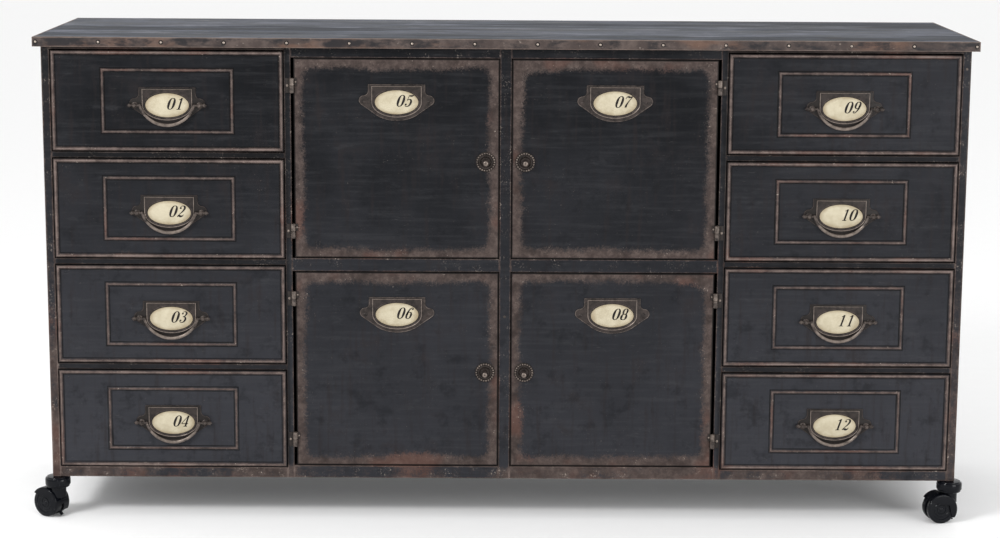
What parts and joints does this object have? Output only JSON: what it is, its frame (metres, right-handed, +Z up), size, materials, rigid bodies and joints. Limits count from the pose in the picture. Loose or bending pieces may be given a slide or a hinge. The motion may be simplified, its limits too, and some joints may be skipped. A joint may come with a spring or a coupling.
{
  "type": "metal chest of drawers on casters",
  "caption": "Wide steel chest on casters with numbered drawers beside hinged doors, bail pulls, label plates and a wooden top.",
  "frame": {"origin": "middle of the floor rectangle under the whole piece, wheels and knobs included", "axes": "+X to the right along the front, +Y to the back, +Z up"},
  "size_m": [1.6508, 0.435, 0.8431],
  "materials": {
    "worn_black": "satin, brushed and worn",
    "worn_brown": "satin, rubbed through to brown",
    "painted_wood": "satin, grain showing",
    "old_bronze": "satin, dark bronze",
    "bare_steel": "satin",
    "gloss_black": "gloss",
    "wheel_black": "semi gloss"
  },
  "bodies": {
    "case": {"top_board": "painted_wood", "top_edge_band": "worn_brown", "band_nails": "worn_brown", "frame_uprights": "worn_brown", "front_rails": "worn_brown", "rear_and_side_rails": "worn_brown", "side_panels": "worn_black", "back_panel": "worn_black", "floor_panel": "worn_black", "partitions": "worn_black", "door_shelves": "worn_black", "drawer_runners": "bare_steel", "hinge_pins": "old_bronze", "door_catches": "gloss_black"},
    "drawer_01": {"drawer_01_box": "worn_black", "drawer_01_label_holder": "old_bronze"},
    "drawer_01_handle": {"drawer_01_bail": "old_bronze"},
    "drawer_02": {"drawer_02_box": "worn_black", "drawer_02_label_holder": "old_bronze"},
    "drawer_02_handle": {"drawer_02_bail": "old_bronze"},
    "drawer_03": {"drawer_03_box": "worn_black", "drawer_03_label_holder": "old_bronze"},
    "drawer_03_handle": {"drawer_03_bail": "old_bronze"},
    "drawer_04": {"drawer_04_box": "worn_black", "drawer_04_label_holder": "old_bronze"},
    "drawer_04_handle": {"drawer_04_bail": "old_bronze"},
    "drawer_09": {"drawer_09_box": "worn_black", "drawer_09_label_holder": "old_bronze"},
    "drawer_09_handle": {"drawer_09_bail": "old_bronze"},
    "drawer_10": {"drawer_10_box": "worn_black", "drawer_10_label_holder": "old_bronze"},
    "drawer_10_handle": {"drawer_10_bail": "old_bronze"},
    "drawer_11": {"drawer_11_box": "worn_black", "drawer_11_label_holder": "old_bronze"},
    "drawer_11_handle": {"drawer_11_bail": "old_bronze"},
    "drawer_12": {"drawer_12_box": "worn_black", "drawer_12_label_holder": "old_bronze"},
    "drawer_12_handle": {"drawer_12_bail": "old_bronze"},
    "door_05": {"door_05_panel": "worn_black", "door_05_label_holder": "old_bronze", "door_05_knob": "old_bronze"},
    "door_06": {"door_06_panel": "worn_black", "door_06_label_holder": "old_bronze", "door_06_knob": "old_bronze"},
    "door_07": {"door_07_panel": "worn_black", "door_07_label_holder": "old_bronze", "door_07_knob": "old_bronze"},
    "door_08": {"door_08_panel": "worn_black", "door_08_label_holder": "old_bronze", "door_08_knob": "old_bronze"},
    "caster_fl": {"caster_fl_hood": "gloss_black"},
    "caster_fl_wheel_pair": {"caster_fl_wheels": "wheel_black"},
    "caster_fl_brake_lever": {"caster_fl_brake": "gloss_black"},
    "caster_fr": {"caster_fr_hood": "gloss_black"},
    "caster_fr_wheel_pair": {"caster_fr_wheels": "wheel_black"},
    "caster_fr_brake_lever": {"caster_fr_brake": "gloss_black"},
    "caster_rl": {"caster_rl_hood": "gloss_black"},
    "caster_rl_wheel_pair": {"caster_rl_wheels": "wheel_black"},
    "caster_rr": {"caster_rr_hood": "gloss_black"},
    "caster_rr_wheel_pair": {"caster_rr_wheels": "wheel_black"}
  },
  "joints": [
    {"name": "drawer_01_slide", "type": "slide", "parent": "case", "child": "drawer_01", "axis": [0, -1, 0], "range_m": [0, 0.3]},
    {"name": "drawer_01_bail_swing", "type": "hinge", "parent": "drawer_01", "child": "drawer_01_handle", "pos_m": [-0.5754, -0.1995, 0.72715], "axis": [-1, 0, 0], "range_deg": [0, 170]},
    {"name": "drawer_02_slide", "type": "slide", "parent": "case", "child": "drawer_02", "axis": [0, -1, 0], "range_m": [0, 0.3]},
    {"name": "drawer_02_bail_swing", "type": "hinge", "parent": "drawer_02", "child": "drawer_02_handle", "pos_m": [-0.5754, -0.1995, 0.54225], "axis": [-1, 0, 0], "range_deg": [0, 170]},
    {"name": "drawer_03_slide", "type": "slide", "parent": "case", "child": "drawer_03", "axis": [0, -1, 0], "range_m": [0, 0.3]},
    {"name": "drawer_03_bail_swing", "type": "hinge", "parent": "drawer_03", "child": "drawer_03_handle", "pos_m": [-0.5754, -0.1995, 0.35735], "axis": [-1, 0, 0], "range_deg": [0, 170]},
    {"name": "drawer_04_slide", "type": "slide", "parent": "case", "child": "drawer_04", "axis": [0, -1, 0], "range_m": [0, 0.3]},
    {"name": "drawer_04_bail_swing", "type": "hinge", "parent": "drawer_04", "child": "drawer_04_handle", "pos_m": [-0.5754, -0.1995, 0.17245], "axis": [-1, 0, 0], "range_deg": [0, 170]},
    {"name": "drawer_09_slide", "type": "slide", "parent": "case", "child": "drawer_09", "axis": [0, -1, 0], "range_m": [0, 0.3]},
    {"name": "drawer_09_bail_swing", "type": "hinge", "parent": "drawer_09", "child": "drawer_09_handle", "pos_m": [0.5754, -0.1995, 0.72715], "axis": [-1, 0, 0], "range_deg": [0, 170]},
    {"name": "drawer_10_slide", "type": "slide", "parent": "case", "child": "drawer_10", "axis": [0, -1, 0], "range_m": [0, 0.3]},
    {"name": "drawer_10_bail_swing", "type": "hinge", "parent": "drawer_10", "child": "drawer_10_handle", "pos_m": [0.5754, -0.1995, 0.54225], "axis": [-1, 0, 0], "range_deg": [0, 170]},
    {"name": "drawer_11_slide", "type": "slide", "parent": "case", "child": "drawer_11", "axis": [0, -1, 0], "range_m": [0, 0.3]},
    {"name": "drawer_11_bail_swing", "type": "hinge", "parent": "drawer_11", "child": "drawer_11_handle", "pos_m": [0.5754, -0.1995, 0.35735], "axis": [-1, 0, 0], "range_deg": [0, 170]},
    {"name": "drawer_12_slide", "type": "slide", "parent": "case", "child": "drawer_12", "axis": [0, -1, 0], "range_m": [0, 0.3]},
    {"name": "drawer_12_bail_swing", "type": "hinge", "parent": "drawer_12", "child": "drawer_12_handle", "pos_m": [0.5754, -0.1995, 0.17245], "axis": [-1, 0, 0], "range_deg": [0, 170]},
    {"name": "door_05_hinge", "type": "hinge", "parent": "case", "child": "door_05", "pos_m": [-0.3632, -0.19706, 0.63685], "axis": [0, 0, -1], "range_deg": [0, 90]},
    {"name": "door_06_hinge", "type": "hinge", "parent": "case", "child": "door_06", "pos_m": [-0.3632, -0.19706, 0.26875], "axis": [0, 0, -1], "range_deg": [0, 90]},
    {"name": "door_07_hinge", "type": "hinge", "parent": "case", "child": "door_07", "pos_m": [0.3632, -0.19706, 0.63685], "axis": [0, 0, 1], "range_deg": [0, 90]},
    {"name": "door_08_hinge", "type": "hinge", "parent": "case", "child": "door_08", "pos_m": [0.3632, -0.19706, 0.26875], "axis": [0, 0, 1], "range_deg": [0, 90]},
    {"name": "caster_fl_swivel", "type": "hinge", "parent": "case", "child": "caster_fl", "pos_m": [-0.7811, -0.1865, 0.09], "axis": [0, 0, 1], "continuous": true},
    {"name": "caster_fl_roll", "type": "hinge", "parent": "caster_fl", "child": "caster_fl_wheel_pair", "pos_m": [-0.79669, -0.1775, 0.025], "axis": [-0.5, -0.866, 0], "continuous": true},
    {"name": "caster_fl_brake_tilt", "type": "hinge", "parent": "caster_fl", "child": "caster_fl_brake_lever", "pos_m": [-0.7811, -0.1865, 0.03], "axis": [-0.5, -0.866, 0], "range_deg": [0, 18]},
    {"name": "caster_fr_swivel", "type": "hinge", "parent": "case", "child": "caster_fr", "pos_m": [0.7811, -0.1865, 0.09], "axis": [0, 0, 1], "continuous": true},
    {"name": "caster_fr_roll", "type": "hinge", "parent": "caster_fr", "child": "caster_fr_wheel_pair", "pos_m": [0.76349, -0.19024, 0.025], "axis": [0.2079, -0.9781, 0], "continuous": true},
    {"name": "caster_fr_brake_tilt", "type": "hinge", "parent": "caster_fr", "child": "caster_fr_brake_lever", "pos_m": [0.7811, -0.1865, 0.03], "axis": [0.2079, -0.9781, 0], "range_deg": [0, 18]},
    {"name": "caster_rl_swivel", "type": "hinge", "parent": "case", "child": "caster_rl", "pos_m": [-0.7811, 0.1955, 0.09], "axis": [0, 0, 1], "continuous": true},
    {"name": "caster_rl_roll", "type": "hinge", "parent": "caster_rl", "child": "caster_rl_wheel_pair", "pos_m": [-0.79669, 0.1865, 0.025], "axis": [0.5, -0.866, 0], "continuous": true},
    {"name": "caster_rr_swivel", "type": "hinge", "parent": "case", "child": "caster_rr", "pos_m": [0.7811, 0.1955, 0.09], "axis": [0, 0, 1], "continuous": true},
    {"name": "caster_rr_roll", "type": "hinge", "parent": "caster_rr", "child": "caster_rr_wheel_pair", "pos_m": [0.79669, 0.1865, 0.025], "axis": [0.5, 0.866, 0], "continuous": true}
  ]
}
